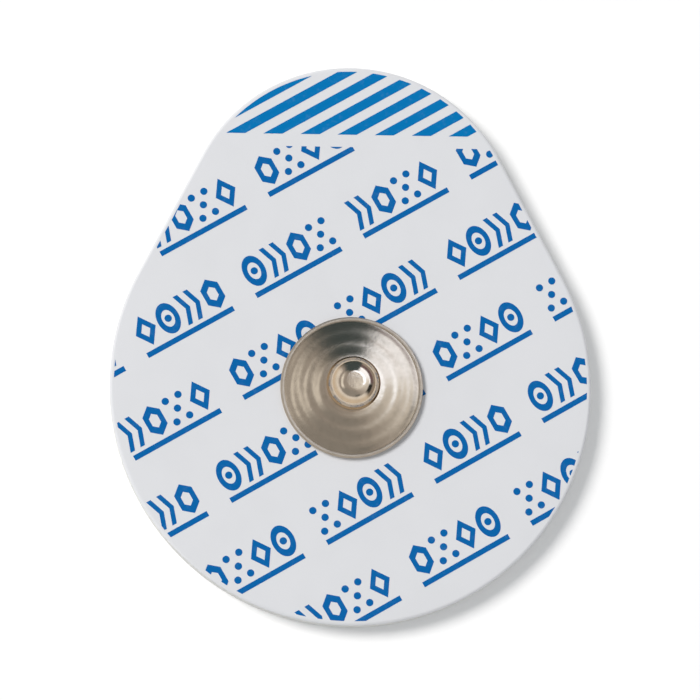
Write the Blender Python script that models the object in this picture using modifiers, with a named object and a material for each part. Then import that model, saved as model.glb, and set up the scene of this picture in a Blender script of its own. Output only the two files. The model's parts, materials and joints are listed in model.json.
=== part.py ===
"""A foam-backed snap electrode for ECG leads, lying with its skin side down.

Lengths are in metres and +Z is up. The snap's axis is the Z axis, the skin side lies at z = 0,
and the narrow tab that the fingers hold points to +Y.
"""

import math

import bmesh
import bpy
from mathutils import Vector

MM = 0.001

# Outline of the die-cut sheet: a body circle round the snap and a smaller tab circle
BODY_RADIUS = 17.6 * MM
TAB_RADIUS = 12.3 * MM
TAB_LENGTH = 6.2 * MM
SNAP_OFFSET = 0.25 * MM

# Thickness of the layers, from the skin upwards
ADHESIVE_THICKNESS = 0.06 * MM
FOAM_THICKNESS = 1.6 * MM
FILM_THICKNESS = 0.1 * MM

# Snap stud: the flange is a rippled dome inside a rolled rim, drawn from one sheet
STUD_SHEET = 0.2 * MM
RIM_RADIUS = 5.2 * MM
RIM_WIDTH = 0.3 * MM
RIM_HEIGHT = 0.42 * MM
RIM_SEAT = 0.3 * MM
CREASE_HEIGHT = 0.37 * MM
DOME_RISE = 0.75 * MM
DOME_CROWN = 0.3
RIPPLE_COUNT = 3
RIPPLE_HEIGHT = 0.03 * MM
FOOT_FILLET = 0.3 * MM

# Snap head: the part that the lead wire's socket closes on
NECK_RADIUS = 1.6 * MM
NECK_HEIGHT = 0.3 * MM
HEAD_RADIUS = 1.97 * MM
HEAD_FLAT_RADIUS = 0.55 * MM
HEAD_UNDERCUT = 0.45 * MM
HEAD_CROWN = 1.45 * MM

# Sensor eyelet, and the gel that fills the foam's well under and round it
EYELET_INSET = 0.3 * MM
EYELET_THICKNESS = 0.35 * MM
EYELET_EDGE = 0.12 * MM
POST_CLEARANCE = 0.08 * MM
WELL_RADIUS = 8.0 * MM
GEL_CLEARANCE = 0.1 * MM
GEL_EDGE = 0.15 * MM

# Print on the film: slanting stripes on the tab and rows of bars on the body
PRINT_ANGLE = math.radians(30.0)
PRINT_MARGIN = 0.32 * MM
STRIPE_BAND = 5.1 * MM
STRIPE_WIDTH = 0.7 * MM
STRIPE_PITCH = 1.37 * MM
STRIPE_LEAD = 1.57 * MM
STRIPE_COUNT = 8
BARE_STRIP = 0.93 * MM
ROW_PITCH = 6.1 * MM
BAR_WIDTH = 0.4 * MM
BAR_LENGTH = 7.2 * MM
BAR_GAP = 1.9 * MM

# Facets of the round shapes
BODY_ARC_STEPS = 96
TAB_ARC_STEPS = 32
TURN_STEPS = 64
POINTS_PER_RIPPLE = 5
ROUND_POINTS = 5

# Sizes that follow from the ones above
FOAM_TOP = ADHESIVE_THICKNESS + FOAM_THICKNESS
FILM_TOP = FOAM_TOP + FILM_THICKNESS
TAB_REACH = BODY_RADIUS + TAB_LENGTH - TAB_RADIUS
TAB_TIP = SNAP_OFFSET + BODY_RADIUS + TAB_LENGTH
EYELET_RADIUS = RIM_RADIUS - EYELET_INSET
GEL_RADIUS = WELL_RADIUS - GEL_CLEARANCE
POST_RADIUS = NECK_RADIUS - STUD_SHEET - POST_CLEARANCE
POST_HOLE_RADIUS = POST_RADIUS + POST_CLEARANCE

# Heights on the stud, from the flange's crease up to the head's flat top
CREASE_Z = FILM_TOP + CREASE_HEIGHT
DOME_Z = CREASE_Z + DOME_RISE
NECK_FOOT_Z = DOME_Z + FOOT_FILLET
NECK_TOP_Z = NECK_FOOT_Z + NECK_HEIGHT
HEAD_WIDE_Z = NECK_TOP_Z + HEAD_UNDERCUT
HEAD_TOP_Z = HEAD_WIDE_Z + HEAD_CROWN

# Radii between which the dome runs
DOME_OUTER = RIM_RADIUS - RIM_WIDTH
DOME_INNER = NECK_RADIUS + FOOT_FILLET


def clear_scene():
    """Remove every object that the scene starts with."""
    for item in list(bpy.data.objects):
        bpy.data.objects.remove(item, do_unlink=True)


def linear(level):
    """Turn a display level from 0 to 255 into a linear colour value."""
    share = level / 255.0
    if share <= 0.04045:
        return share / 12.92
    return ((share + 0.055) / 1.055) ** 2.4


def make_material(name, display_colour, roughness, metallic=0.0):
    """Make one Principled material from a display colour."""
    material = bpy.data.materials.new(name)
    material.use_nodes = True
    shader = material.node_tree.nodes["Principled BSDF"]
    colour = [linear(level) for level in display_colour]
    shader.inputs["Base Color"].default_value = (*colour, 1.0)
    shader.inputs["Roughness"].default_value = roughness
    shader.inputs["Metallic"].default_value = metallic
    material.diffuse_color = (*colour, 1.0)
    return material


def arc(centre, radii, start, end, steps):
    """Return points on an arc, both ends included. Radii are along the two axes."""
    points = []
    for step in range(steps + 1):
        angle = start + (end - start) * step / steps
        x = centre[0] + radii[0] * math.cos(angle)
        y = centre[1] + radii[1] * math.sin(angle)
        points.append((x, y))
    return points


def sheet_outline():
    """Return the die-cut outline: two arcs, joined by the straight flanks that touch both."""
    lean = math.asin((BODY_RADIUS - TAB_RADIUS) / TAB_REACH)
    body = arc((0.0, SNAP_OFFSET), (BODY_RADIUS, BODY_RADIUS), math.pi - lean,
               2.0 * math.pi + lean, BODY_ARC_STEPS)
    tab = arc((0.0, SNAP_OFFSET + TAB_REACH), (TAB_RADIUS, TAB_RADIUS), lean, math.pi - lean,
              TAB_ARC_STEPS)
    return body + tab


def round_hole(radius):
    """Return the points of a round hole on the snap's axis."""
    return arc((0.0, 0.0), (radius, radius), 0.0, 2.0 * math.pi, TURN_STEPS)[:-1]


def make_sheet(name, hole_radius, bottom, thickness, material, collection):
    """Make one layer of the die-cut sheet: the outline with a round hole, as a filled 2D curve."""
    curve = bpy.data.curves.new(name, "CURVE")
    curve.dimensions = "2D"
    curve.fill_mode = "BOTH"
    curve.extrude = thickness / 2.0
    for outline in (sheet_outline(), round_hole(hole_radius)):
        spline = curve.splines.new("POLY")
        spline.points.add(len(outline) - 1)
        for point, (x, y) in zip(spline.points, outline):
            point.co = (x, y, 0.0, 1.0)
        spline.use_cyclic_u = True
    curve.materials.append(material)
    sheet = bpy.data.objects.new(name, curve)
    sheet.location.z = bottom + thickness / 2.0
    collection.objects.link(sheet)
    return sheet


def make_turned(name, profile, material, collection):
    """Turn a profile of (radius, height) points about the Z axis."""
    mesh = bpy.data.meshes.new(name)
    vertices = [(radius, 0.0, height) for radius, height in profile]
    edges = [(index, index + 1) for index in range(len(profile) - 1)]
    mesh.from_pydata(vertices, edges, [])
    mesh.materials.append(material)
    turned = bpy.data.objects.new(name, mesh)
    collection.objects.link(turned)
    screw = turned.modifiers.new("Turn", "SCREW")
    screw.axis = "Z"
    screw.angle = 2.0 * math.pi
    screw.steps = TURN_STEPS
    screw.render_steps = TURN_STEPS
    screw.use_merge_vertices = True
    screw.merge_threshold = 0.00001
    screw.use_smooth_shade = True
    return turned


def dome_height(share):
    """Return the dome's height. Share runs from 0 at the rim to 1 at the neck's foot."""
    crown = share * (1.0 + DOME_CROWN * (1.0 - share))
    ripple = math.sin(math.pi * RIPPLE_COUNT * share) ** 2
    return CREASE_Z + DOME_RISE * crown + RIPPLE_HEIGHT * ripple


def dome_points(steps, drop, first, last):
    """Return points on the dome between two shares of its width, lowered by a drop."""
    points = []
    for step in range(steps + 1):
        share = first + (last - first) * step / steps
        radius = DOME_OUTER + (DOME_INNER - DOME_OUTER) * share
        points.append((radius, dome_height(share) - drop))
    return points


def head_shape(inset):
    """Return the head's section from its flat top down to the neck, moved inwards by an inset."""
    quarter = math.pi / 2.0
    crown = (HEAD_RADIUS - HEAD_FLAT_RADIUS - inset, HEAD_CROWN - inset)
    undercut = (HEAD_RADIUS - NECK_RADIUS, HEAD_UNDERCUT - inset)
    points = [(0.0, HEAD_TOP_Z - inset)]
    points += arc((HEAD_FLAT_RADIUS, HEAD_WIDE_Z), crown, quarter, 0.0, ROUND_POINTS)
    points += arc((NECK_RADIUS - inset, HEAD_WIDE_Z), undercut, 0.0, -quarter, ROUND_POINTS)[1:]
    return points


def stud_profile():
    """Return the stud's section, down its outer side and back up its hollow underside."""
    quarter = math.pi / 2.0
    neck = arc((DOME_INNER, NECK_FOOT_Z), (FOOT_FILLET, FOOT_FILLET),
               2.0 * quarter, 3.0 * quarter, ROUND_POINTS)
    dome = dome_points(RIPPLE_COUNT * POINTS_PER_RIPPLE, 0.0, 1.0, 0.0)[1:]
    half_rim = RIM_WIDTH / 2.0
    bead_height = RIM_HEIGHT - CREASE_HEIGHT
    rim = arc((RIM_RADIUS - half_rim, CREASE_Z), (half_rim, bead_height),
              2.0 * quarter, 0.0, 2 * ROUND_POINTS)[1:]
    rim += arc((RIM_RADIUS - half_rim, CREASE_Z), (half_rim, CREASE_HEIGHT),
               0.0, -quarter, ROUND_POINTS)[1:]
    seat = [(RIM_RADIUS - half_rim - RIM_SEAT, FILM_TOP)]
    hollow = dome_points(RIPPLE_COUNT, STUD_SHEET, 2.0 * RIM_SEAT / DOME_OUTER, 1.0)
    inside_fillet = FOOT_FILLET + STUD_SHEET
    throat = arc((DOME_INNER, NECK_FOOT_Z), (inside_fillet, inside_fillet),
                 3.0 * quarter, 2.0 * quarter, ROUND_POINTS)[1:]
    cavity = head_shape(STUD_SHEET)[::-1]
    return head_shape(0.0) + neck + dome + rim + seat + hollow + throat + cavity


def eyelet_profile():
    """Return the eyelet's section: the upset tip in the stud's head, the post and the flange."""
    tip = head_shape(STUD_SHEET + POST_CLEARANCE)
    post = [(POST_RADIUS, FOAM_TOP)]
    middle = FOAM_TOP - EYELET_THICKNESS / 2.0
    edge = arc((EYELET_RADIUS - EYELET_EDGE, middle), (EYELET_EDGE, EYELET_THICKNESS / 2.0),
               math.pi / 2.0, -math.pi / 2.0, ROUND_POINTS + 1)
    return tip + post + edge + [(0.0, FOAM_TOP - EYELET_THICKNESS)]


def gel_profile():
    """Return the gel's section: a disc with a recess that takes the eyelet's flange."""
    recess_radius = EYELET_RADIUS + GEL_CLEARANCE
    recess_floor = FOAM_TOP - EYELET_THICKNESS
    recess = [(0.0, recess_floor), (recess_radius, recess_floor), (recess_radius, FOAM_TOP)]
    edge = arc((GEL_RADIUS - GEL_EDGE, FOAM_TOP - GEL_EDGE), (GEL_EDGE, GEL_EDGE),
               math.pi / 2.0, 0.0, ROUND_POINTS)
    return recess + edge + [(GEL_RADIUS, 0.0), (0.0, 0.0)]


def as_mesh(item, collection):
    """Replace a curve object by the mesh that it shows, with its caps welded on."""
    graph = bpy.context.evaluated_depsgraph_get()
    mesh = bpy.data.meshes.new_from_object(item.evaluated_get(graph))
    name = item.name
    place = item.matrix_world.copy()
    bpy.data.objects.remove(item, do_unlink=True)
    work = bmesh.new()
    work.from_mesh(mesh)
    bmesh.ops.remove_doubles(work, verts=work.verts, dist=0.000001)
    work.to_mesh(mesh)
    work.free()
    solid = bpy.data.objects.new(name, mesh)
    solid.matrix_world = place
    collection.objects.link(solid)
    return solid


def split(work, faces, distance, normal):
    """Cut some faces along a plane at a distance from the axis and return all their pieces."""
    edges = {edge for face in faces for edge in face.edges}
    corners = {corner for face in faces for corner in face.verts}
    cut = bmesh.ops.bisect_plane(work, geom=[*faces, *edges, *corners],
                                 plane_co=normal * distance, plane_no=normal)
    return [item for item in cut["geom"] if isinstance(item, bmesh.types.BMFace)]


def above(faces, distance, normal):
    """Return the faces whose middle lies beyond a plane."""
    return [face for face in faces if face.calc_center_median().dot(normal) > distance]


def below(faces, distance, normal):
    """Return the faces whose middle lies before a plane."""
    return [face for face in faces if face.calc_center_median().dot(normal) <= distance]


def ink_band(work, faces, low, high, normal, ink):
    """Cut one straight band out of the faces, ink it, and return its faces and all faces."""
    faces = split(work, faces, low, normal)
    faces = split(work, faces, high, normal)
    band = below(above(faces, low, normal), high, normal)
    for face in band:
        face.material_index = ink
    return band, faces


def print_film(film):
    """Divide the film's top into the fields that are printed, and give those their inks."""
    up_page = Vector((0.0, 1.0, 0.0))
    across = Vector((-math.sin(PRINT_ANGLE), math.cos(PRINT_ANGLE), 0.0))
    along = Vector((math.cos(PRINT_ANGLE), math.sin(PRINT_ANGLE), 0.0))
    work = bmesh.new()
    work.from_mesh(film.data)
    top = [face for face in work.faces if face.normal.z > 0.5]
    bmesh.ops.inset_region(work, faces=top, thickness=PRINT_MARGIN, use_even_offset=True)
    stripe_base = TAB_TIP - STRIPE_BAND
    field_top = stripe_base - BARE_STRIP
    faces = split(work, top, stripe_base, up_page)
    tab = above(faces, stripe_base, up_page)
    body = split(work, below(faces, stripe_base, up_page), field_top, up_page)
    body = split(work, below(body, field_top, up_page), 0.0, across)
    upper = above(body, 0.0, across)
    lower = below(body, 0.0, across)
    tab = bmesh.ops.dissolve_faces(work, faces=tab)["region"]
    upper = bmesh.ops.dissolve_faces(work, faces=upper)["region"]
    lower = bmesh.ops.dissolve_faces(work, faces=lower)["region"]
    first_stripe = TAB_TIP * math.cos(PRINT_ANGLE) + STRIPE_LEAD
    for stripe in range(STRIPE_COUNT):
        high = first_stripe - stripe * STRIPE_PITCH
        tab = ink_band(work, tab, high - STRIPE_WIDTH, high, across, 1)[1]
    rows = math.ceil(BODY_RADIUS / ROW_PITCH)
    for row in range(-rows, rows):
        low = (row + 0.5) * ROW_PITCH
        bar, rest = ink_band(work, upper if row >= 0 else lower, low, low + BAR_WIDTH, across, 2)
        if row >= 0:
            upper = rest
        else:
            lower = rest
        leave_gaps(work, bar, along, row)
    work.to_mesh(film.data)
    work.free()


def leave_gaps(work, bar, along, row):
    """Take the ink off the gaps that part a printed row into bars, staggered from row to row."""
    period = BAR_LENGTH + BAR_GAP
    reach = math.ceil(BODY_RADIUS / period) + 1
    for index in range(-reach, reach + 1):
        start = (index + 0.5 * (row % 2)) * period
        bar = split(work, bar, start, along)
        bar = split(work, bar, start + BAR_GAP, along)
        for face in below(above(bar, start, along), start + BAR_GAP, along):
            face.material_index = 0


def build():
    """Make the six pieces, from the skin upwards."""
    clear_scene()
    collection = bpy.data.collections.new("snap_electrode")
    bpy.context.scene.collection.children.link(collection)
    adhesive = make_material("skin_adhesive", (226, 226, 220), 0.25)
    foam = make_material("white_foam", (232, 232, 230), 0.85)
    film = make_material("face_film", (223, 224, 227), 0.4)
    steel = make_material("plated_steel", (168, 156, 141), 0.25, 1.0)
    sensor = make_material("silver_chloride", (138, 134, 132), 0.5, 0.3)
    gel = make_material("conductive_gel", (205, 218, 224), 0.1)
    stripe_ink = make_material("stripe_ink", (4, 117, 182), 0.4)
    bar_ink = make_material("bar_ink", (9, 100, 169), 0.4)

    make_sheet("skin_adhesive", WELL_RADIUS, 0.0, ADHESIVE_THICKNESS, adhesive, collection)
    make_sheet("foam_backing", WELL_RADIUS, ADHESIVE_THICKNESS, FOAM_THICKNESS, foam, collection)
    face = make_sheet("label_film", POST_HOLE_RADIUS, FOAM_TOP, FILM_THICKNESS, film, collection)
    face = as_mesh(face, collection)
    face.data.materials.append(stripe_ink)
    face.data.materials.append(bar_ink)
    print_film(face)
    make_turned("gel_pad", gel_profile(), gel, collection)
    make_turned("sensor_eyelet", eyelet_profile(), sensor, collection)
    make_turned("snap_stud", stud_profile(), steel, collection)


build()
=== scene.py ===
# %% [markdown]
# # ECG electrode
# A throw-away electrode that picks up the heart's signal: a teardrop of white foam with a printed
# face film, a sticky skin side, a disc of wet gel and a metal snap stud for the lead wire.
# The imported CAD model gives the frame. Every piece here is made round it, in metres, with +Z up
# out of the snap stud and +Y towards the narrow finger tab.

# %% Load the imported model
import json
import math

import bmesh
import bpy
from mathutils import Matrix, Vector, noise

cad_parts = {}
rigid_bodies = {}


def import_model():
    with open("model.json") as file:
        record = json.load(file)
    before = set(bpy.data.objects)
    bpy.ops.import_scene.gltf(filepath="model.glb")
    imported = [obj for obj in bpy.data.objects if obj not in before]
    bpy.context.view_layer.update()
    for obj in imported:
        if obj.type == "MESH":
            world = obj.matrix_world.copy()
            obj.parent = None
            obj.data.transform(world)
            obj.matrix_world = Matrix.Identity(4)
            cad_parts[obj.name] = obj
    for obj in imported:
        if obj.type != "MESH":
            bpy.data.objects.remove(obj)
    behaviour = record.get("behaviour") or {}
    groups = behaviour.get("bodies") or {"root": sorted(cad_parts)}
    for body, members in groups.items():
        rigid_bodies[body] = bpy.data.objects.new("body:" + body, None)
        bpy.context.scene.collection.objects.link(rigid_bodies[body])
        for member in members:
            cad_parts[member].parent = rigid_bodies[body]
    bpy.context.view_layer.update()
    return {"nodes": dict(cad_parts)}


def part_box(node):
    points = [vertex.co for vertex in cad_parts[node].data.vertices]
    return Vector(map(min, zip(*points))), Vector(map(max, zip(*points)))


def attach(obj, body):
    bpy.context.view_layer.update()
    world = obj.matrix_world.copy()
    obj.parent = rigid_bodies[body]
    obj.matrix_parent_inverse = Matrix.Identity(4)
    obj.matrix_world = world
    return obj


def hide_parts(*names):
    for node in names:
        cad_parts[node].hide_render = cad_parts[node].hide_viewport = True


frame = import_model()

# %% [markdown]
# ## Sizes of the sheets
# The electrode is a stack of sheets, so a few heights and radii place everything. Those that the
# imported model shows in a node's box are read from it, and the rest are written here once.
# Reading the box keeps the looks on the CAD even when a size of it changes.

# %% Sizes of the sheets
MM = 0.001

film_low, film_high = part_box("label_film")
BODY_RADIUS = film_high.x
SNAP_OFFSET = film_low.y + BODY_RADIUS
TAB_RADIUS = 12.3 * MM
TAB_CENTRE = film_high.y - TAB_RADIUS
FILM_TOP = film_high.z
FILM_THICKNESS = 0.1 * MM
FOAM_TOP = FILM_TOP - FILM_THICKNESS
ADHESIVE_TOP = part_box("skin_adhesive")[1].z
EDGE_PRESS = 0.12 * MM
EDGE_WIDTH = 0.25 * MM
FILM_HOLE = 1.4 * MM
WELL_RADIUS = 8.0 * MM

# The tab's flanks lean by this much where they touch both circles.
FLANK_LEAN = math.degrees(math.asin((BODY_RADIUS - TAB_RADIUS) / (TAB_CENTRE - SNAP_OFFSET)))
print(f"sheet {2 * BODY_RADIUS / MM:.1f} mm wide, flanks lean {FLANK_LEAN:.1f} degrees")

# %% [markdown]
# ## Sizes of the stud
# The stud's heights add up from the film: the bead of the rim, the dome, the neck and the head.
# Its head is as wide as the socket of a lead wire needs, and everything else was measured against
# it in the photograph.

# %% Sizes of the stud
stud_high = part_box("snap_stud")[1]
RIM_RADIUS = stud_high.x
HEAD_TOP = stud_high.z
SHEET = 0.2 * MM
RIM_WIDTH = 0.3 * MM
RIM_HEIGHT = 0.42 * MM
RIM_SEAT = 0.3 * MM
CREASE_HEIGHT = 0.37 * MM
DOME_RISE = 0.75 * MM
DOME_CROWN = 0.3
RIPPLE_COUNT = 3
RIPPLE_HEIGHT = 0.03 * MM
FOOT_FILLET = 0.3 * MM
NECK_RADIUS = 1.6 * MM
NECK_HEIGHT = 0.3 * MM
HEAD_RADIUS = 1.97 * MM
HEAD_FLAT = 0.55 * MM
HEAD_UNDERCUT = 0.45 * MM

DOME_OUTER = RIM_RADIUS - RIM_WIDTH
DOME_INNER = NECK_RADIUS + FOOT_FILLET
CREASE_Z = FILM_TOP + CREASE_HEIGHT
FOOT_Z = CREASE_Z + DOME_RISE + FOOT_FILLET
HEAD_WIDE_Z = FOOT_Z + NECK_HEIGHT + HEAD_UNDERCUT
print(f"stud flange {2 * RIM_RADIUS / MM:.1f} mm, head {2 * HEAD_RADIUS / MM:.2f} mm, "
      f"top at {HEAD_TOP / MM:.2f} mm")

# %% [markdown]
# ## Camera
# The photograph looks almost straight down, tipped a little towards the lower left, so that the
# foam's edge shows there. A long lens flattens the view as a product picture does. The direction
# came from the edges of the sheet and the stud, whose heights above the table are known.

# %% Camera
IMAGE_PIXELS = 700
PIXELS_PER_MM = 13.7
LENS_MM = 200.0
SENSOR_MM = 36.0
CLIP_START = 10 * MM
VIEW_TILT = math.radians(10.9)
VIEW_AZIMUTH = math.radians(248.4)
VIEW_TARGET = Vector((-0.10, 2.83, 1.76)) * MM


def add_object(name, data, collection=None):
    """A new object in the scene, or in a collection of it."""
    item = bpy.data.objects.new(name, data)
    (collection or bpy.context.scene.collection).objects.link(item)
    return item


view_distance = LENS_MM / SENSOR_MM * IMAGE_PIXELS / PIXELS_PER_MM * MM
view_back = Vector((
    math.sin(VIEW_TILT) * math.cos(VIEW_AZIMUTH),
    math.sin(VIEW_TILT) * math.sin(VIEW_AZIMUTH),
    math.cos(VIEW_TILT),
))
view_right = Vector((0.0, 1.0, 0.0)).cross(view_back).normalized()
view_up = view_back.cross(view_right)

camera_data = bpy.data.cameras.new("camera")
camera_data.lens = LENS_MM
camera_data.sensor_width = SENSOR_MM
camera_data.clip_start = CLIP_START
camera = add_object("camera", camera_data)
axes = Matrix((view_right, view_up, view_back)).transposed().to_4x4()
camera.matrix_world = Matrix.Translation(VIEW_TARGET + view_back * view_distance) @ axes
bpy.context.scene.camera = camera
print(f"camera {view_distance:.3f} m away, tipped {math.degrees(VIEW_TILT):.1f} degrees")

# %% [markdown]
# ## Writing node trees as sums
# Shader and geometry trees grow long when every node is placed by hand. A small class holds one
# output socket and turns Python's operators into Math nodes, so a pattern can be written as a sum.
# Every other node comes from one method: its type, its settings, then its values or links.


# %% Node trees as Python expressions
class Value:
    """A number that changes over a surface: one output socket of a tree."""

    def __init__(self, tree, socket):
        self.tree = tree
        self.socket = socket

    def __add__(self, other):
        return self.tree.maths("ADD", self, other)

    def __sub__(self, other):
        return self.tree.maths("SUBTRACT", self, other)

    def __rsub__(self, other):
        return self.tree.maths("SUBTRACT", other, self)

    def __mul__(self, other):
        return self.tree.maths("MULTIPLY", self, other)

    def __truediv__(self, other):
        return self.tree.maths("DIVIDE", self, other)

    def __mod__(self, other):
        return self.tree.maths("FLOORED_MODULO", self, other)

    __radd__ = __add__
    __rmul__ = __mul__

    def floor(self):
        return self.tree.maths("FLOOR", self)

    def step(self, low, high):
        """0 below low, 1 above high and a soft rise between them."""
        return self.tree.node(
            "ShaderNodeMapRange", {"interpolation_type": "SMOOTHSTEP"}, {0: self, 1: low, 2: high}
        )

    def band(self, start, full, last, end):
        """1 from full to last, fading to 0 at start and at end."""
        return self.step(start, full) * (1.0 - self.step(last, end))


class NodeTree:
    """A node tree with one way to add any node to it."""

    def __init__(self, tree):
        self.tree = tree

    def node(self, kind, settings=None, inputs=None, output=0):
        """One output of a new node, which first gets its settings, then its values and links."""
        node = self.tree.nodes.new(kind)
        for name, setting in (settings or {}).items():
            setattr(node, name, setting)
        for name, value in (inputs or {}).items():
            self.feed(node.inputs[name], value)
        return Value(self, node.outputs[output]) if node.outputs else None

    def outputs(self, kind, inputs=None):
        """All outputs of a new node, by their names."""
        sockets = self.node(kind, {}, inputs).socket.node.outputs
        return {socket.name: Value(self, socket) for socket in sockets}

    def feed(self, socket, value):
        """Sets a socket, or links it to a Value or to each Value of a list."""
        if isinstance(value, list):
            for item in value:
                self.feed(socket, item)
        elif isinstance(value, Value):
            self.tree.links.new(value.socket, socket)
        else:
            socket.default_value = value

    def maths(self, operation, first, second=0.0):
        return self.node("ShaderNodeMath", {"operation": operation}, {0: first, 1: second})

    def mix(self, factor, first, second):
        """A colour between two colours."""
        return self.node(
            "ShaderNodeMix", {"data_type": "RGBA"}, {0: factor, 6: first, 7: second}, output=2
        )

    def rays(self, *kinds):
        """1 where the light is on a ray of one of the kinds, such as Camera or Glossy."""
        paths = self.outputs("ShaderNodeLightPath")
        hit, *others = (paths[f"Is {kind} Ray"] for kind in kinds)
        for other in others:
            hit = self.maths("MAXIMUM", hit, other)
        return hit


# %% [markdown]
# ## Shader trees
# A finish is a Principled shader plus the patterns that vary it. Patterns read Object
# coordinates, which are metres on these pieces, so a scale of 1000 means one cell per millimetre.


# %% Finishes
class Finish(NodeTree):
    """A material whose Principled shader takes its looks from patterns."""

    def __init__(self, name, base, roughness, numbers=None):
        self.material = bpy.data.materials.new(name)
        self.material.use_nodes = True
        self.material.diffuse_color = (*base, 1.0)
        super().__init__(self.material.node_tree)
        self.shader = self.tree.nodes["Principled BSDF"]
        self.base = (*base, 1.0)
        self.put("Base Color", self.base)
        self.put("Roughness", roughness)
        for socket_name, number in (numbers or {}).items():
            self.put(socket_name, number)
        self.place = self.node("ShaderNodeTexCoord", output="Object")

    def put(self, socket_name, value):
        """Sets or links one socket of the shader."""
        self.feed(self.shader.inputs[socket_name], value)

    def noise(self, per_mm, detail=2.0):
        """Even noise from 0 to 1, with so many lumps to a millimetre."""
        return self.node(
            "ShaderNodeTexNoise", {},
            {"Vector": self.place, "Scale": per_mm / MM, "Detail": detail},
        )

    def cells(self, per_mm, smoothness=0.35):
        """Rounded cells, 0 in the middle of each and higher towards its walls."""
        return self.node(
            "ShaderNodeTexVoronoi", {"feature": "SMOOTH_F1"},
            {"Vector": self.place, "Scale": per_mm / MM, "Smoothness": smoothness},
        )

    def length(self, vector):
        return self.node(
            "ShaderNodeVectorMath", {"operation": "LENGTH"}, {0: vector}, output="Value"
        )

    def shade(self, factor, darkest):
        """The base colour, darkened towards darkest times itself where factor is 1."""
        dark = (*[channel * darkest for channel in self.base[:3]], 1.0)
        self.put("Base Color", self.mix(factor, self.base, dark))

    def bump(self, height, depth):
        """Relief from a height of 0 to 1, depth metres deep."""
        relief = self.node(
            "ShaderNodeBump", {}, {"Strength": 1.0, "Distance": depth, "Height": height}
        )
        self.put("Normal", relief)


def linear(red, green, blue):
    """A colour of a picture, 0 to 255, as the amounts of light that a shader takes."""
    shares = [channel / 255 for channel in (red, green, blue)]
    return tuple(s / 12.92 if s <= 0.04045 else ((s + 0.055) / 1.055) ** 2.4 for s in shares)


print(f"a picture's middle grey sends back {linear(128, 128, 128)[0]:.0%} of the light")

# %% [markdown]
# ## White floor
# The photograph stands on plain white, which still shows the object's shadow. The floor is white by
# its own colour, with a small glow that only the camera and reflections see, so the shadow stays.
# Away from the object it turns into a plain white glow for them, so that a low view has no horizon.

# %% Floor
FLOOR_HALF = 4.0
FLOOR_WHITE = 0.91
FLOOR_GLOW = 0.14
FLOOR_DROP = 0.01 * MM
FADE_START = 50 * MM
FADE_END = 200 * MM
BLACK = (0.0, 0.0, 0.0, 1.0)
WHITE = (1.0, 1.0, 1.0, 1.0)

floor_mesh = bpy.data.meshes.new("floor")
floor_corners = [(x * FLOOR_HALF, y * FLOOR_HALF) for x, y in ((-1, -1), (1, -1), (1, 1), (-1, 1))]
floor_mesh.from_pydata([(x, y, -FLOOR_DROP) for x, y in floor_corners], [], [(0, 1, 2, 3)])
floor = add_object("floor", floor_mesh)

floor_finish = Finish("studio_floor", (FLOOR_WHITE,) * 3, 0.8, {"Specular IOR Level": 0.0})
seen = floor_finish.rays("Camera", "Glossy", "Transmission")
fading = seen * floor_finish.length(floor_finish.place).step(FADE_START, FADE_END)
floor_finish.shade(fading, 0.0)
floor_glow = floor_finish.mix(fading, (FLOOR_GLOW, FLOOR_GLOW, FLOOR_GLOW, 1.0), WHITE)
floor_finish.put("Emission Color", floor_finish.mix(seen, BLACK, floor_glow))
floor_finish.put("Emission Strength", 1.0)
floor_mesh.materials.append(floor_finish.material)
print(f"floor is white by itself from {FADE_END / MM:.0f} mm out")

# %% [markdown]
# ## Lamp
# The one soft shadow in the photograph falls to the right, so one round softbox lights the object
# from the upper left. The even glow of the world, which follows below, fills the shadow and is
# slightly cool, as the shadow in the photograph is.

# %% Softbox
KEY_SHARE = 0.6
AMBIENT = 1.0 - KEY_SHARE
AMBIENT_TINT = (0.97, 1.0, 1.03)
KEY_AZIMUTH = math.radians(155)
KEY_ELEVATION = math.radians(50)
KEY_DISTANCE = 1.5
KEY_SPREAD = math.radians(25)

key_data = bpy.data.lights.new("softbox", "AREA")
key_data.shape = "DISK"
# The lamp is as much warmer as the glow is cooler, so that white stays white.
key_data.color = [(1.0 - AMBIENT * tint) / KEY_SHARE for tint in AMBIENT_TINT]
key_data.size = 2 * KEY_DISTANCE * math.tan(KEY_SPREAD / 2)
# A flat white sheet then sends back this share of white from the lamp alone.
key_data.energy = KEY_SHARE * (math.pi * KEY_DISTANCE) ** 2 / math.sin(KEY_ELEVATION)
key = add_object("softbox", key_data)
key_way = Vector((
    math.cos(KEY_ELEVATION) * math.cos(KEY_AZIMUTH),
    math.cos(KEY_ELEVATION) * math.sin(KEY_AZIMUTH),
    math.sin(KEY_ELEVATION),
))
key.location = key_way * KEY_DISTANCE
key.rotation_euler = key_way.to_track_quat("Z", "Y").to_euler()
key.visible_glossy = False
print(f"softbox {key_data.size:.3f} m wide at {key_data.energy:.2f} W")

# %% [markdown]
# ## What the metal mirrors
# Bare metal has hardly any colour of its own: it shows the studio. The world is therefore painted
# as a studio for mirror rays: a warm grey ceiling, a bright window to the upper right with a cream
# wall round it, a dark wall at the top, a paler one to the left and a cream floor. The patches were
# fitted to the tones of the stud. Matt surfaces get an even glow instead, and the camera
# sees plain white past the floor.

# %% Studio dome
CEILING = (0.42, 0.37, 0.32, 1.0)

world = bpy.data.worlds.new("studio")
world.use_nodes = True
world.node_tree.nodes.clear()
bpy.context.scene.world = world
dome = NodeTree(world.node_tree)
direction = dome.node("ShaderNodeTexCoord", output="Generated")
way = dome.outputs("ShaderNodeSeparateXYZ", {0: direction})
off_zenith = dome.maths("ARCCOSINE", way["Z"]) * math.degrees(1)
azimuth = dome.maths("ARCTAN2", way["Y"], way["X"]) * math.degrees(1)


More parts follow.
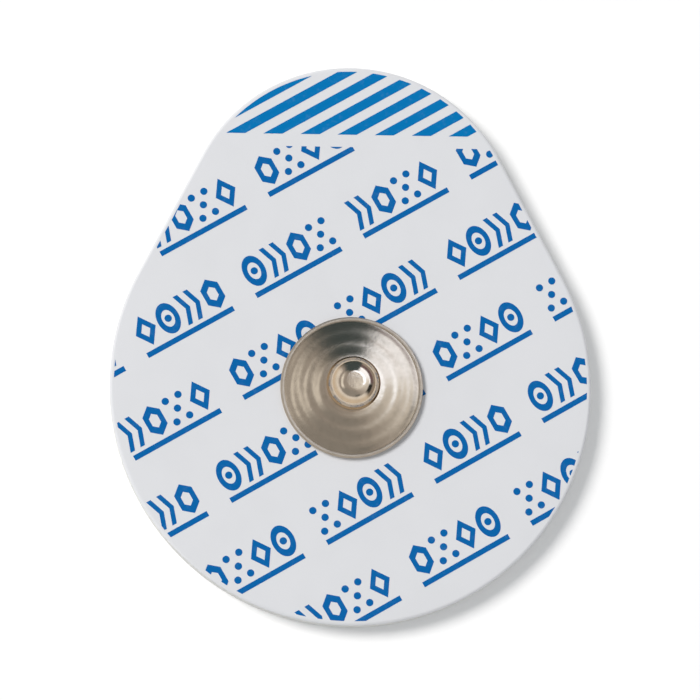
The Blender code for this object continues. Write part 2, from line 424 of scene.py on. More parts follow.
def bearing(start, full, last, end):
    """1 between two bearings in degrees, with fading edges."""
    middle = (start + end) / 2
    turned = (azimuth + (540.0 - middle)) % 360.0 - 180.0
    return turned.band(start - middle, full - middle, last - middle, end - middle)


def background(colour, strength):
    return dome.node("ShaderNodeBackground", {}, {"Color": colour, "Strength": strength})


# Each patch has a colour, its bearings and its heights, as degrees where it starts to show, is
# full, is last full and is gone. Bearings turn from +X towards +Y; heights go down from the zenith.
patches = {
    "left wall": ((1.05, 0.98, 0.86), (112, 150, 190, 214), (18, 26, 32, 37)),
    "lower wall": ((0.35, 0.32, 0.28), (190, 215, 285, 310), (4, 16, 40, 50)),
    "right wall": ((0.96, 0.90, 0.80), (-62, 18, 64, 74), (0, 12, 58, 70)),
    "window": ((1.42, 1.45, 1.54), (10, 34, 64, 71), (14, 22, 42, 54)),
    "window top": ((2.0, 2.1, 2.3), (4, 18, 78, 84), (12.5, 16, 22, 28)),
    "window foot": ((1.6, 1.63, 1.7), (-14, 2, 66, 73), (42, 48, 53, 58)),
    "red floor": ((0.20, 0.13, 0.13), (-4, 6, 82, 88), (48, 57, 68, 80)),
    "cream floor": ((0.95, 0.87, 0.76), (122, 138, 312, 328), (42, 54, 95, 96)),
    "dark corner": ((0.03, 0.03, 0.025), (-44, -24, -6, 8), (42, 50, 64, 76)),
    "dark smudge": ((0.2, 0.19, 0.17), (-88, -76, -64, -52), (32, 38, 44, 50)),
    "dark wall": ((0.045, 0.07, 0.07), (63, 73, 98, 117), (17, 27, 95, 96)),
    "dark wall foot": ((0.07, 0.09, 0.09), (63, 73, 106, 128), (28, 36, 95, 96)),
}
sky = CEILING
for colour, bearings, heights in patches.values():
    sky = dome.mix(bearing(*bearings) * off_zenith.band(*heights), sky, (*colour, 1.0))

mirrored = background(sky, 1.0)
glow = background((*AMBIENT_TINT, 1.0), AMBIENT)
backdrop = background(WHITE, 1.0)
mirror_rays = dome.rays("Glossy", "Transmission")
light = dome.node("ShaderNodeMixShader", {}, {0: mirror_rays, 1: glow, 2: mirrored})
light = dome.node("ShaderNodeMixShader", {}, {0: dome.rays("Camera"), 1: light, 2: backdrop})
dome.node("ShaderNodeOutputWorld", {}, {"Surface": light})

bpy.context.scene.view_settings.view_transform = "Standard"
print(f"the metal mirrors a ceiling and {len(patches)} patches of a studio")


# %% Arcs and objects
# Points closer together than this, in metres, become one.
MERGE_DISTANCE = 1e-7


def arc(centre, radii, start, end, steps):
    """Points of part of an ellipse with both ends, its angles in degrees."""
    angles = [math.radians(start + (end - start) * index / steps) for index in range(steps + 1)]
    return [
        (centre[0] + radii[0] * math.cos(angle), centre[1] + radii[1] * math.sin(angle))
        for angle in angles
    ]


def settle(mesh, crease):
    """Merges doubles, turns the faces outwards and shades them smooth up to a crease in degrees."""
    shape = bmesh.new()
    shape.from_mesh(mesh)
    bmesh.ops.remove_doubles(shape, verts=shape.verts, dist=MERGE_DISTANCE)
    bmesh.ops.recalc_face_normals(shape, faces=shape.faces)
    volume = shape.calc_volume(signed=True)
    open_edges = sum(not edge.is_manifold for edge in shape.edges)
    shape.to_mesh(mesh)
    shape.free()
    mesh.polygons.foreach_set("use_smooth", [True] * len(mesh.polygons))
    mesh.set_sharp_from_angle(angle=math.radians(crease))
    mesh.calc_loop_triangles()
    print(f"{mesh.name}: {len(mesh.loop_triangles)} triangles, {open_edges} open edges, "
          f"{volume / MM ** 3:.2f} cubic mm")


def plain_mesh(holder, name):
    """The finished shape of an object as a mesh of its own. The object itself is removed."""
    finished = holder.evaluated_get(bpy.context.evaluated_depsgraph_get())
    mesh = bpy.data.meshes.new_from_object(finished)
    bpy.data.objects.remove(holder)
    mesh.name = name
    return mesh


def add_piece(name, mesh, finish):
    """A piece at the origin, whose place is in its mesh, with its finish."""
    mesh.name = name
    mesh.materials.clear()
    mesh.materials.append(finish.material)
    return add_object(name, mesh)


# %% [markdown]
# ## The teardrop outline
# All three sheets were cut in one stroke by one die: a circle round the snap, a smaller one at the
# finger tab and the two lines that touch both. Moved inwards, both circles shrink by the same
# amount, so the rings of a sheet always have matching points and can be joined into a surface.

# %% Outline rings
BODY_STEPS = 300
TAB_STEPS = 100
FLANK_STEPS = 24


def between(first, second, steps):
    """Points on the line between two points, without its ends."""
    first, second = Vector(first), Vector(second)
    return [tuple(first.lerp(second, index / steps)) for index in range(1, steps)]


def outline(inset):
    """The teardrop, moved inwards by inset, as flat points anticlockwise."""
    big, small = BODY_RADIUS - inset, TAB_RADIUS - inset
    body = arc((0, SNAP_OFFSET), (big, big), 180 - FLANK_LEAN, 360 + FLANK_LEAN, BODY_STEPS)
    tab = arc((0, TAB_CENTRE), (small, small), FLANK_LEAN, 180 - FLANK_LEAN, TAB_STEPS)
    right = between(body[-1], tab[0], FLANK_STEPS)
    left = between(tab[-1], body[0], FLANK_STEPS)
    return body + right + tab + left


def ring(inset, height):
    """The outline at a height, as points in space."""
    return [Vector((x, y, height)) for x, y in outline(inset)]


def hole(radius, height):
    """A circle round the snap whose points face those of the outline."""
    rise = Vector((0, 0, height))
    return [Vector((x, y, 0)).normalized() * radius + rise for x, y in outline(0.0)]


def across(first, second, steps):
    """Rings between two rings, without the first."""
    return [
        [a.lerp(b, index / steps) for a, b in zip(first, second)] for index in range(1, steps + 1)
    ]


def loft(name, rings, crease):
    """A closed sheet through its rings, the last of which joins the first."""
    count = len(rings[0])
    faces = []
    for row in range(len(rings)):
        here, there = row * count, (row + 1) % len(rings) * count
        for index in range(count):
            after = (index + 1) % count
            faces.append((here + index, here + after, there + after, there + index))
    mesh = bpy.data.meshes.new(name)
    mesh.from_pydata([point for points in rings for point in points], [], faces)
    settle(mesh, crease)
    return mesh


def press(inset):
    """How far the die pushes the sheet down near its edge."""
    share = max(0.0, 1.0 - inset / EDGE_WIDTH)
    return EDGE_PRESS * share ** 2


print(f"{len(outline(0.0))} points round the outline")

# %% [markdown]
# ## Face film
# The white face is a film of plastic, welded to the foam and cut with it, so its edge is drawn down
# a little over the foam. Its satin skin shows a faint grain. It is made as rings from the cut edge
# to the hole for the eyelet, close together where the edge turns down.

# %% Face film
FILM_EDGE = 0.02 * MM
PRESS_RINGS = 8
FLAT_RINGS = 6
FILM_RELIEF = 0.012 * MM


def satin(finish, roughness):
    """The film's fine grain and slow ripple, which ink on it takes over. Returns the ripple."""
    grain = finish.noise(9.0, detail=4.0)
    ripple = finish.noise(0.35, detail=1.0)
    finish.put("Roughness", roughness + grain * 0.12)
    finish.bump(grain * 0.3 + ripple, FILM_RELIEF)
    return ripple


press_width = EDGE_WIDTH - FILM_EDGE
film_insets = [FILM_EDGE + press_width * index / PRESS_RINGS for index in range(PRESS_RINGS + 1)]
film_top = [ring(inset, FILM_TOP - press(inset)) for inset in film_insets]
film_top += across(film_top[-1], hole(FILM_HOLE, FILM_TOP), FLAT_RINGS)
film_drop = Vector((0, 0, FILM_THICKNESS))
film_under = [[point - film_drop for point in points] for points in film_top]
film_mesh = loft("film", film_top + film_under[::-1], crease=40)

film_finish = Finish("satin_white_film", linear(225, 226, 229), 0.42, {"Specular IOR Level": 0.3})
film_ripple = satin(film_finish, 0.38)
film_finish.shade(film_ripple.step(0.35, 0.75), 0.985)

film = add_piece("film", film_mesh, film_finish)
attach(film, "root")
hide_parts("label_film")

# %% [markdown]
# ## Foam
# The body is closed-cell foam. Only its cut edge shows: a soft white wall that bulges a little
# between the die's cuts, with the halves of small cells in it. The cells are pressed into the mesh
# of the wall by noise, and finer ones come from the bump, with painted shade in their pits.

# %% Foam backing
WALL_RINGS = 12
WALL_BULGE = 0.05 * MM
CELL_DEPTH = 0.035 * MM
CELLS_PER_MM = 3.2

foam_edge_top = FOAM_TOP - press(FILM_EDGE)
foam_wall = []
for index in range(WALL_RINGS + 1):
    share = index / WALL_RINGS
    level = ADHESIVE_TOP + (foam_edge_top - ADHESIVE_TOP) * share
    swell = WALL_BULGE * (2 * share - 1) ** 2
    # The pits fade out at both cut edges, so the wall still meets the sheets.
    edge_hold = math.sin(math.pi * share) ** 0.5
    points = []
    for point in ring(swell, level):
        pit = noise.noise(point * (CELLS_PER_MM / MM)) * 0.5 + 0.5
        inward = Vector((-point.x, SNAP_OFFSET - point.y, 0)).normalized()
        points.append(point + inward * (CELL_DEPTH * pit * edge_hold))
    foam_wall.append(points)
foam_top = [ring(inset, FOAM_TOP - press(inset)) for inset in film_insets[1:]]
foam_top += across(foam_top[-1], hole(WELL_RADIUS, FOAM_TOP), FLAT_RINGS)
foam_well = [hole(WELL_RADIUS, ADHESIVE_TOP)]
foam_floor = across(foam_well[0], foam_wall[0], FLAT_RINGS)[:-1]
foam_mesh = loft("foam", foam_wall + foam_top + foam_well + foam_floor, crease=50)

foam_finish = Finish("white_foam", linear(232, 232, 229), 0.75, {"Specular IOR Level": 0.3})
foam_cells = foam_finish.cells(5.0)
foam_specks = foam_finish.noise(2.2, detail=3.0)
# The middle of each cell, deepest in the bump, is darkened: painted shade in the pits. The specks
# are random tone.
foam_finish.shade(foam_cells.step(0.35, 0.0) * 0.6 + foam_specks.step(0.45, 0.8) * 0.4, 0.9)
foam_finish.bump(foam_cells, 0.03 * MM)

foam = add_piece("foam", foam_mesh, foam_finish)
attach(foam, "root")
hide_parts("foam_backing")

# %% [markdown]
# ## Skin adhesive
# A clear acrylic coat covers the foam's skin side round the gel well. It is glossy and tacky, and
# lies in faint waves where it left its liner. It is the thinnest ring of the stack.

# %% Skin adhesive
ADHESIVE_INSET = 0.06 * MM

adhesive_top = [ring(ADHESIVE_INSET, ADHESIVE_TOP)]
adhesive_top += across(adhesive_top[0], hole(WELL_RADIUS, ADHESIVE_TOP), FLAT_RINGS)
adhesive_under = [[Vector((point.x, point.y, 0)) for point in points] for points in adhesive_top]
adhesive_mesh = loft("adhesive", adhesive_top + adhesive_under[::-1], crease=40)

adhesive_finish = Finish(
    "tacky_acrylic", linear(226, 226, 219), 0.22, {"Coat Weight": 0.6, "Coat Roughness": 0.08}
)
adhesive_waves = adhesive_finish.noise(0.8)
adhesive_dust = adhesive_finish.noise(5.0)
adhesive_finish.shade(adhesive_waves.step(0.3, 0.8), 0.96)
adhesive_finish.put("Roughness", 0.16 + adhesive_dust * 0.14)
adhesive_finish.bump(adhesive_waves + adhesive_dust * 0.2, 0.02 * MM)

adhesive = add_piece("adhesive", adhesive_mesh, adhesive_finish)
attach(adhesive, "root")
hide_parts("skin_adhesive")

# %% [markdown]
# ## Turned pieces with Geometry Nodes
# The stud and the gel disc have one rule: a profile turned about the snap's axis. A Spin in mesh
# code would do, but a tree says it in a few nodes. A grid has one column for each step of the turn
# and one row for each point of the profile. Each grid point looks up its profile point by its row
# and is turned by its column. The result is merged, realised and kept as a plain mesh.


# %% Geometry trees
class Recipe(NodeTree):
    """A geometry node tree with named inputs."""

    def __init__(self, name, inputs):
        super().__init__(bpy.data.node_groups.new(name, "GeometryNodeTree"))
        self.tree.is_modifier = True
        interface = self.tree.interface
        interface.new_socket("Geometry", in_out="OUTPUT", socket_type="NodeSocketGeometry")
        interface.new_socket("Geometry", in_out="INPUT", socket_type="NodeSocketGeometry")
        for label, kind in inputs.items():
            interface.new_socket(label, in_out="INPUT", socket_type="NodeSocket" + kind)
        self.given = self.outputs("NodeGroupInput")

    def end(self, geometry, material):
        """Makes instances real, gives them their material and hands them out."""
        solid = self.node("GeometryNodeRealizeInstances", {}, {0: geometry})
        coated = self.node("GeometryNodeSetMaterial", {}, {"Geometry": solid, "Material": material})
        self.node("NodeGroupOutput", {}, {0: coated})

    def make(self, name, mesh, **settings):
        """Runs the tree on a mesh and keeps the result as a plain mesh."""
        holder = add_object(name, mesh)
        modifier = holder.modifiers.new(name, "NODES")
        modifier.node_group = self.tree
        for item in self.tree.interface.items_tree:
            key = item.name.lower().replace(" ", "_")
            if key in settings:
                modifier[item.identifier] = settings[key]
        return plain_mesh(holder, name)


# %% Tree that turns a profile
turning = Recipe("turned_profile", {"Steps": "Int", "Finish": "Material"})
profile_line = turning.given["Geometry"]
turn_steps = turning.given["Steps"]
profile_size = turning.node(
    "GeometryNodeAttributeDomainSize", {"component": "MESH"}, {0: profile_line}
)
turn_grid = turning.node(
    "GeometryNodeMeshGrid", {}, {"Vertices X": turn_steps + 1, "Vertices Y": profile_size}
)
grid_index = turning.node("GeometryNodeInputIndex")
turn_row = grid_index % profile_size
turn_angle = (grid_index / profile_size).floor() * math.tau / turn_steps
own_place = turning.node("GeometryNodeInputPosition")
profile_place = turning.node(
    "GeometryNodeSampleIndex", {"data_type": "FLOAT_VECTOR"},
    {"Geometry": profile_line, "Value": own_place, "Index": turn_row},
)
turned_place = turning.node(
    "ShaderNodeVectorRotate", {"rotation_type": "Z_AXIS"},
    {"Vector": profile_place, "Angle": turn_angle},
)
turned = turning.node(
    "GeometryNodeSetPosition", {}, {"Geometry": turn_grid, "Position": turned_place}
)
turned = turning.node(
    "GeometryNodeMergeByDistance", {}, {"Geometry": turned, "Distance": MERGE_DISTANCE}
)
turning.end(turned, turning.given["Finish"])


def turn(name, profile, steps, finish):
    """A solid that is a profile of radius and height, turned about the snap's axis."""
    line = bpy.data.meshes.new(name + "_profile")
    edges = [(index, index + 1) for index in range(len(profile) - 1)]
    line.from_pydata([(radius, 0.0, level) for radius, level in profile], edges, [])
    mesh = turning.make(name, line, steps=steps, finish=finish.material)
    settle(mesh, crease=40)
    return mesh


print("turning tree has", len(turning.tree.nodes), "nodes")

# %% [markdown]
# ## Profile of the stud
# The stud is drawn from one thin sheet of plated steel: a rim rolled to a bead, a shallow dome with
# three raised rings, a short neck and the hollow head that the lead wire's socket grips. Its
# profile is drawn once from arcs, outside from the head to the rim and back underneath.

# %% Stud profile
ROUND_STEPS = 16
RIPPLE_STEPS = 14


def dome_height(share):
    """Height of the dome, from 0 at the rim's crease to 1 at the neck's foot."""
    crown = share * (1.0 + DOME_CROWN * (1.0 - share))
    ripple = math.sin(math.pi * RIPPLE_COUNT * share) ** 2
    return CREASE_Z + DOME_RISE * crown + RIPPLE_HEIGHT * ripple


def head_shape(inset):
    """The head from its flat top to its neck, moved inwards by inset."""
    crown = (HEAD_RADIUS - HEAD_FLAT - inset, HEAD_TOP - HEAD_WIDE_Z - inset)
    undercut = (HEAD_RADIUS - NECK_RADIUS, HEAD_UNDERCUT - inset)
    points = [(0.0, HEAD_TOP - inset)]
    points += arc((HEAD_FLAT, HEAD_WIDE_Z), crown, 90, 0, 2 * ROUND_STEPS)
    points += arc((NECK_RADIUS - inset, HEAD_WIDE_Z), undercut, 0, -90, ROUND_STEPS)[1:]
    return points


def dome_line(first, last, drop):
    """The dome between two shares of its width, lowered by drop."""
    steps = RIPPLE_COUNT * RIPPLE_STEPS
    points = []
    for index in range(steps + 1):
        share = first + (last - first) * index / steps
        radius = DOME_OUTER + (DOME_INNER - DOME_OUTER) * share
        points.append((radius, dome_height(share) - drop))
    return points


bead_middle = RIM_RADIUS - RIM_WIDTH / 2
bead_top = (RIM_WIDTH / 2, RIM_HEIGHT - CREASE_HEIGHT)
bead_side = (RIM_WIDTH / 2, CREASE_HEIGHT)
throat = FOOT_FILLET + SHEET
# The underside rises from its flat seat on the film to this share of the dome's width.
seat_end = 2 * RIM_SEAT / DOME_OUTER
stud_profile = head_shape(0.0)
stud_profile += arc((DOME_INNER, FOOT_Z), (FOOT_FILLET, FOOT_FILLET), 180, 270, ROUND_STEPS)
stud_profile += dome_line(1.0, 0.0, 0.0)[1:]
stud_profile += arc((bead_middle, CREASE_Z), bead_top, 180, 0, 2 * ROUND_STEPS)[1:]
stud_profile += arc((bead_middle, CREASE_Z), bead_side, 0, -90, ROUND_STEPS)[1:]
stud_profile += [(bead_middle - RIM_SEAT, FILM_TOP)]
stud_profile += dome_line(seat_end, 1.0, SHEET)
stud_profile += arc((DOME_INNER, FOOT_Z), (throat, throat), 270, 180, ROUND_STEPS)[1:]
stud_profile += head_shape(SHEET)[::-1]
print(f"{len(stud_profile)} points in the stud's profile")

# %% [markdown]
# ## Plated steel
# Nickel plating is a little warm, and here it is slightly stained. The head is polished, and its
# colour is painted brighter, a painted sheen. Its shoulder is painted warmer, a painted reflection.
# The rolled rim is rubbed dull, so what it mirrors is blurred. These zones are rings, so they
# follow the distance from the axis.

# %% Plated steel
# The head's brighter colour is a painted sheen, and the shoulder's warmer colour is a painted
# reflection.
HEAD_SHEEN_COLOUR = (0.70, 0.64, 0.575, 1.0)
SHOULDER_REFLECTION_COLOUR = (0.58, 0.48, 0.37, 1.0)
STAIN_COLOUR = (0.30, 0.27, 0.22, 1.0)
STAIN_STRENGTH = 0.16
NECK_FADE = 0.2 * MM
# Distances from the axis in mm: where the polish and the painted sheen fade out, where the
# shoulder's painted reflection starts, is full, is last full and is gone, and where the dull rim
# begins.
POLISH_AND_SHEEN_END = (1.9, 2.1)
SHOULDER_REFLECTION_ZONE = (1.25, 1.5, 1.9, 1.98)
RIM_START = (4.85, 4.95)

stud_finish = Finish(
    "plated_steel", (0.60, 0.55, 0.49), 0.18,
    {"Metallic": 1.0, "Specular Tint": (0.80, 0.72, 0.62, 1.0)},
)
flat_place = stud_finish.node(
    "ShaderNodeVectorMath", {"operation": "MULTIPLY"}, {0: stud_finish.place, 1: (1.0, 1.0, 0.0)}
)
from_axis = stud_finish.length(flat_place) * (1 / MM)
plate_mottle = stud_finish.noise(2.0, detail=3.0)
plate_grain = stud_finish.noise(7.0)

# The polished head is smoother, and its colour is painted brighter: a painted sheen.
head_polish_and_sheen = 1.0 - from_axis.step(*POLISH_AND_SHEEN_END)
stud_height = stud_finish.outputs("ShaderNodeSeparateXYZ", {0: stud_finish.place})["Z"]
above_neck = stud_height.step(HEAD_WIDE_Z - NECK_FADE, HEAD_WIDE_Z)
# A warmer band on the head's shoulder: a painted reflection.
painted_shoulder_reflection = from_axis.band(*SHOULDER_REFLECTION_ZONE) * above_neck
dull_rim = from_axis.step(*RIM_START)
stain = plate_mottle.step(0.4, 0.75) * STAIN_STRENGTH

plate_colour = stud_finish.mix(head_polish_and_sheen, stud_finish.base, HEAD_SHEEN_COLOUR)
plate_colour = stud_finish.mix(painted_shoulder_reflection, plate_colour, SHOULDER_REFLECTION_COLOUR)
plate_colour = stud_finish.mix(stain, plate_colour, STAIN_COLOUR)
stud_finish.put("Base Color", plate_colour)
plate_roughness = 0.16 + plate_mottle * 0.1 - head_polish_and_sheen * 0.09 + dull_rim * 0.22
stud_finish.put("Roughness", plate_roughness)
stud_finish.bump(plate_mottle + plate_grain * 0.2, 0.008 * MM)
print("plated steel has", len(stud_finish.tree.nodes), "nodes")

# %% Snap stud
STUD_STEPS = 256

stud_mesh = turn("stud", stud_profile, STUD_STEPS, stud_finish)
stud = add_piece("stud", stud_mesh, stud_finish)
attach(stud, "root")
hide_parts("snap_stud")

# %% [markdown]
# ## Gel disc
# On the skin side a disc of milky wet gel fills the well. It bulges to the skin plane and dips
# towards its edge. It is turned like the stud, with a recess above for the disc of the eyelet.

# %% Gel disc
GEL_RADIUS = 7.9 * MM
GEL_EDGE = 0.3 * MM
GEL_DIP = 0.05 * MM
EYELET_RECESS = 5.0 * MM
EYELET_THICKNESS = 0.35 * MM
GEL_STEPS = 160
GEL_EDGE_STEPS = 8
GEL_FACE_STEPS = 12

gel_face = GEL_RADIUS - GEL_EDGE
gel_round = (GEL_EDGE, GEL_EDGE)
recess_top = FOAM_TOP - EYELET_THICKNESS
gel_profile = [(0.0, recess_top), (EYELET_RECESS, recess_top), (EYELET_RECESS, FOAM_TOP)]
gel_profile += arc((gel_face, FOAM_TOP - GEL_EDGE), gel_round, 90, 0, GEL_EDGE_STEPS)
gel_profile += arc((gel_face, GEL_EDGE + GEL_DIP), gel_round, 0, -90, GEL_EDGE_STEPS)
for index in reversed(range(GEL_FACE_STEPS)):
    share = index / GEL_FACE_STEPS
    gel_profile.append((gel_face * share, GEL_DIP * share ** 2))

gel_finish = Finish(
    "wet_gel", linear(205, 218, 224), 0.12,
    {"Transmission Weight": 0.55, "IOR": 1.37, "Coat Weight": 0.5, "Coat Roughness": 0.03},
)
gel_cloud = gel_finish.noise(0.6, detail=3.0)
gel_finish.shade(gel_cloud.step(0.35, 0.75), 0.94)
gel_finish.bump(gel_cloud, 0.02 * MM)

gel_mesh = turn("gel", gel_profile, GEL_STEPS, gel_finish)
gel = add_piece("gel", gel_mesh, gel_finish)
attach(gel, "root")
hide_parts("gel_pad")

# %% [markdown]
# ## Sensor eyelet
# The eyelet is moulded plastic under silver and silver chloride, a dark matt grey that shows
# faintly through the gel. Its plain shape is right as packed, so only its material changes.

# %% Sensor eyelet
eyelet = frame["nodes"]["sensor_eyelet"]
eyelet_finish = Finish("silver_chloride", linear(138, 134, 132), 0.6, {"Metallic": 0.25})
eyelet_tarnish = eyelet_finish.noise(1.2, detail=4.0)
eyelet_finish.shade(eyelet_tarnish.step(0.35, 0.7), 0.75)
eyelet_finish.bump(eyelet_finish.noise(12.0), 0.004 * MM)
for material_slot in eyelet.material_slots:
    material_slot.material = eyelet_finish.material
print("eyelet keeps its CAD mesh of", len(eyelet.data.polygons), "faces")

# %% [markdown]
# ## Stamps for the print
# The film carries blue ink in two fields: slanted stripes on the finger tab, and below them rows of
# short bars with small generic marks. Each stamp is a flat curve with its outlines, so a ring is
# two circles. A curve fills them and gives them the ink's thickness by itself.

# %% Marks
INK_SINK = 0.005 * MM
INK_RISE = 0.012 * MM
BAR_WIDTH = 0.4 * MM
BAR_LENGTH = 7.2 * MM
MARKS_PER_BAR = 4
MARK_HEIGHT = 2.4 * MM
MARK_WIDTH = 1.65 * MM
MARK_STROKE = 0.37 * MM
MARK_PITCH = 1.87 * MM
MARK_LIFT = 0.28 * MM
CHEVRON_TIP = 0.42 * MM
CHEVRON_STROKE = 0.36 * MM
DOT_RADIUS = 0.27 * MM
DOT_SPREAD = (0.32 * MARK_WIDTH, 0.36 * MARK_HEIGHT)
DOT_SIDES = 16
OVAL_SIDES = 48


def polygon(sides, radii, centre=(0.0, 0.0)):
    """A polygon with one corner up; with many sides it is a circle or an oval."""
    return arc(centre, radii, 90, 450, sides)[:-1]


def dot(centre=(0.0, 0.0)):
    return polygon(DOT_SIDES, (DOT_RADIUS, DOT_RADIUS), centre)


def frame_mark(sides):
    """A polygon as wide and tall as a mark, drawn as a line."""
    outer = polygon(sides, (MARK_WIDTH / 2, MARK_HEIGHT / 2))
    edges = zip(outer, outer[1:] + outer[:1])
    nearest = min(abs(a[0] * b[1] - a[1] * b[0]) / math.dist(a, b) for a, b in edges)
    share = 1.0 - MARK_STROKE / nearest
    return [outer, [(x * share, y * share) for x, y in outer]]


def rectangle(left, right, low, high):
    return [(left, low), (right, low), (right, high), (left, high)]


def chevron(left):
    """An arrow head that points along the row."""
    line = [(left, -MARK_HEIGHT / 2), (left + CHEVRON_TIP, 0.0), (left, MARK_HEIGHT / 2)]
    return line + [(x + CHEVRON_STROKE, y) for x, y in line[::-1]]


dot_corners = [(x * DOT_SPREAD[0], y * DOT_SPREAD[1]) for x in (-1, 1) for y in (-1, 1)]
marks = {
    "diamond": frame_mark(4),
    "target": [*frame_mark(OVAL_SIDES), dot()],
    "chevrons": [chevron(-MARK_WIDTH / 2), chevron(0.0)],
    "hexagon": frame_mark(6),
    "dots": [dot(), *(dot(corner) for corner in dot_corners)],
}
mark_names = list(marks)
print("marks:", ", ".join(mark_names))


# %% Stamps
def flat_solid(name, outlines, low, high):
    """Closed outlines filled and given a height; an outline inside another one is a hole."""
    curve = bpy.data.curves.new(name, "CURVE")
    curve.dimensions = "2D"
    curve.fill_mode = "BOTH"
    curve.extrude = (high - low) / 2
    for points in outlines:
        spline = curve.splines.new("POLY")
        spline.points.add(len(points) - 1)
        for point, (x, y) in zip(spline.points, points):
            point.co = (x, y, 0.0, 1.0)
        spline.use_cyclic_u = True
    mesh = plain_mesh(add_object(name, curve), name)
    mesh.transform(Matrix.Translation((0, 0, (low + high) / 2)))
    settle(mesh, crease=30)
    return mesh


def stamp_set(name, stamps):
    """A collection with one flat solid for the outlines of each stamp."""
    group = bpy.data.collections.new(name)
    bpy.context.scene.collection.children.link(group)
    for index, outlines in enumerate(stamps):
        mesh = flat_solid(f"{name}_{index}", outlines, FILM_TOP - INK_SINK, FILM_TOP + INK_RISE)
        add_object(f"{name}_{index}", mesh, group)
    return group


def row_stamp(first_mark):
    """The outlines of a bar with a row of marks above it, starting with one of them."""
    mark_level = BAR_WIDTH + MARK_LIFT + MARK_HEIGHT / 2
    outlines = [rectangle(0.0, BAR_LENGTH, 0.0, BAR_WIDTH)]
    for column in range(MARKS_PER_BAR):
        mark = marks[mark_names[(first_mark + column) % len(mark_names)]]
        middle = BAR_LENGTH / 2 + (column - (MARKS_PER_BAR - 1) / 2) * MARK_PITCH
        outlines += [[(x + middle, y + mark_level) for x, y in points] for points in mark]
    return outlines


row_stamps = stamp_set("row_stamp", [row_stamp(first) for first in range(len(mark_names))])

# %% [markdown]
# ## Fields of the print
# The ink stops a little inside the cut edge. Stripes cover the tip of the finger tab down to a
# level line, a bare strip follows, and the rows of marks fill the rest apart from the disc that the
# stud covers. Each field is a low solid, because a Boolean node cuts a solid with a solid.

# %% Fields of the print
PRINT_MARGIN = 0.32 * MM
STRIPE_BAND = 5.1 * MM
BARE_STRIP = 0.93 * MM
FIELD_DEPTH = 0.1 * MM
PRINT_HOLE = RIM_RADIUS - RIM_WIDTH / 2
HOLE_SIDES = 96

band_low = film_high.y - STRIPE_BAND
field_high = band_low - BARE_STRIP


def cut_level(points, level, keep_above):
    """The part of a closed outline on one side of a level line."""
    side = 1 if keep_above else -1
    kept = []
    for here, after in zip(points, points[1:] + points[:1]):
        if (here[1] - level) * side >= 0:
            kept.append(here)
        if (here[1] - level) * (after[1] - level) < 0:
            share = (level - here[1]) / (after[1] - here[1])
            kept.append((here[0] + (after[0] - here[0]) * share, level))
    return kept


def field(name, outlines):
    """The room that a field of print may take, as a solid that cuts the stamps."""
    mesh = flat_solid(name, outlines, FILM_TOP - FIELD_DEPTH, FILM_TOP + FIELD_DEPTH)
    return add_object(name, mesh)


print_outline = outline(PRINT_MARGIN)
stud_patch = polygon(HOLE_SIDES, (PRINT_HOLE, PRINT_HOLE))
tab_field = field("tab_field", [cut_level(print_outline, band_low, True)])
row_field = field("row_field", [cut_level(print_outline, field_high, False), stud_patch])

# %% [markdown]
# ## Rows of stamps with Geometry Nodes
# The print repeats, so a second tree sets it out: a grid of points with a stamp on each, like
# bricks, with every second row moved along and each row starting with another stamp. The whole
# grid is then slanted about the snap's axis and cut to its field.

# %% Tree that prints rows of stamps
printing = Recipe("printed_rows", {
    "Stamps": "Collection", "Stamp Count": "Int", "Row Step": "Int", "Columns": "Int",
    "Rows": "Int", "Pitch Along": "Float", "Pitch Across": "Float", "Stagger": "Float",
    "Corner": "Vector", "Turn": "Float", "Field": "Object", "Finish": "Material",
})
given = printing.given
print_grid = printing.node(
    "GeometryNodeMeshGrid", {}, {"Vertices X": given["Columns"], "Vertices Y": given["Rows"]}
)
stamp_index = printing.node("GeometryNodeInputIndex")
stamp_row = stamp_index % given["Rows"]
stamp_column = (stamp_index / given["Rows"]).floor()
stamp_x = stamp_column * given["Pitch Along"] + (stamp_row % 2) * given["Stagger"]
stamp_y = stamp_row * given["Pitch Across"]
stamp_place = printing.node("ShaderNodeCombineXYZ", {}, {"X": stamp_x, "Y": stamp_y})
stamp_points = printing.node(
    "GeometryNodeSetPosition", {}, {"Geometry": print_grid, "Position": stamp_place}
)
stamp_kinds = printing.node(
    "GeometryNodeCollectionInfo", {},
    {"Collection": given["Stamps"], "Separate Children": True},
)
stamp_kind = (stamp_column + stamp_row * given["Row Step"]) % given["Stamp Count"]
stamped = printing.node("GeometryNodeInstanceOnPoints", {}, {
    "Points": stamp_points, "Instance": stamp_kinds,
    "Pick Instance": True, "Instance Index": stamp_kind,
})
stamp_turn = printing.node("ShaderNodeCombineXYZ", {}, {"Z": given["Turn"]})
stamp_corner = printing.node(
    "ShaderNodeVectorRotate", {"rotation_type": "Z_AXIS"},
    {"Vector": given["Corner"], "Angle": given["Turn"]},
)
slanted = printing.node(
    "GeometryNodeTransform", {},
    {"Geometry": stamped, "Translation": stamp_corner, "Rotation": stamp_turn},
)
slanted = printing.node("GeometryNodeRealizeInstances", {}, {0: slanted})
field_shape = printing.node(
    "GeometryNodeObjectInfo", {}, {"Object": given["Field"]}, output="Geometry"
)
cut_print = printing.node(
    "GeometryNodeMeshBoolean", {"operation": "INTERSECT", "solver": "EXACT"},
    {"Mesh 2": [slanted, field_shape]},
)
printing.end(cut_print, given["Finish"])
print("printing tree has", len(printing.tree.nodes), "nodes")

# %% [markdown]
# ## Inks
# Screen ink on plastic is flat and a little uneven: it takes up the film's grain, and thins in
# places. The stripes are a lighter blue than the rows.

# %% Blue inks
PALE_SHARE = 0.06


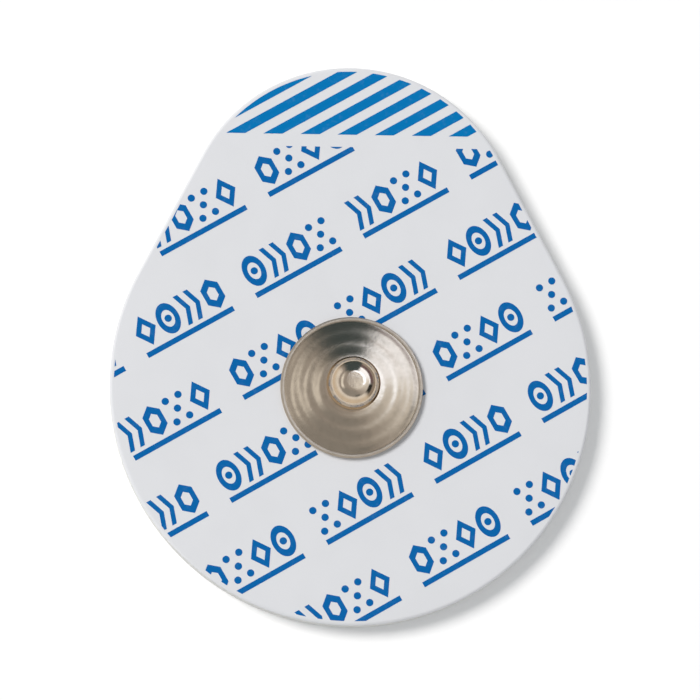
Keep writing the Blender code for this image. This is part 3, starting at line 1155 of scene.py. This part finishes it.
def ink(name, colour):
    """Blue ink that shares the film's relief and thins in places."""
    finish = Finish(name, colour, 0.4, {"Specular IOR Level": 0.06})
    pale = tuple((1.0 - PALE_SHARE) * channel + PALE_SHARE for channel in colour)
    thin = finish.noise(2.5, detail=3.0).step(0.5, 0.9) * 0.5
    finish.put("Base Color", finish.mix(thin, finish.base, (*pale, 1.0)))
    satin(finish, 0.34)
    return finish


stripe_ink = ink("stripe_ink", linear(4, 117, 182))
row_ink = ink("row_ink", linear(9, 100, 169))
print("inks:", stripe_ink.material.name, row_ink.material.name)

# %% [markdown]
# ## Printing
# Both fields come from the same tree. The tab's stripes are one column of a single long stamp, and
# the rows use all the stamps. The tree makes its own grid, so it runs on an empty mesh.

# %% Printed stripes
PRINT_ANGLE = math.radians(30)
STRIPE_COUNT = 8
STRIPE_WIDTH = 0.7 * MM
STRIPE_PITCH = 1.37 * MM
STRIPE_LEAD = 1.57 * MM
STRIPE_REACH = 30.0 * MM

blank = bpy.data.meshes.new("blank")
stripe_outline = rectangle(-STRIPE_REACH, STRIPE_REACH, -STRIPE_WIDTH, 0.0)
stripe_stamps = stamp_set("stripe_stamp", [[stripe_outline]])
stripe_top = film_high.y * math.cos(PRINT_ANGLE) + STRIPE_LEAD
stripes_mesh = printing.make(
    "stripes", blank, stamps=stripe_stamps, stamp_count=1, row_step=0, columns=1,
    rows=STRIPE_COUNT, pitch_along=0.0, pitch_across=-STRIPE_PITCH, stagger=0.0,
    corner=(0.0, stripe_top, 0.0), turn=PRINT_ANGLE, field=tab_field,
    finish=stripe_ink.material,
)
settle(stripes_mesh, crease=30)
stripes = add_piece("stripes", stripes_mesh, stripe_ink)

# %% Printed rows
ROW_COUNT = 6
ROW_PITCH = 6.1 * MM
BAR_GAP = 1.9 * MM
BAR_COLUMNS = 7
FIRST_ROW = -3
FIRST_COLUMN = -4

bar_pitch = BAR_LENGTH + BAR_GAP
row_corner = ((FIRST_COLUMN + 0.5) * bar_pitch + BAR_GAP, (FIRST_ROW + 0.5) * ROW_PITCH, 0.0)
rows_mesh = printing.make(
    "printed_rows", blank, stamps=row_stamps, stamp_count=len(mark_names), row_step=2,
    columns=BAR_COLUMNS, rows=ROW_COUNT, pitch_along=bar_pitch, pitch_across=ROW_PITCH,
    stagger=bar_pitch / 2, corner=row_corner, turn=PRINT_ANGLE, field=row_field,
    finish=row_ink.material,
)
settle(rows_mesh, crease=30)
printed_rows = add_piece("printed_rows", rows_mesh, row_ink)

for printed in (stripes, printed_rows):
    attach(printed, "root")
for helper in (*row_stamps.objects, *stripe_stamps.objects, tab_field, row_field):
    bpy.data.objects.remove(helper)
for group in (row_stamps, stripe_stamps):
    bpy.data.collections.remove(group)
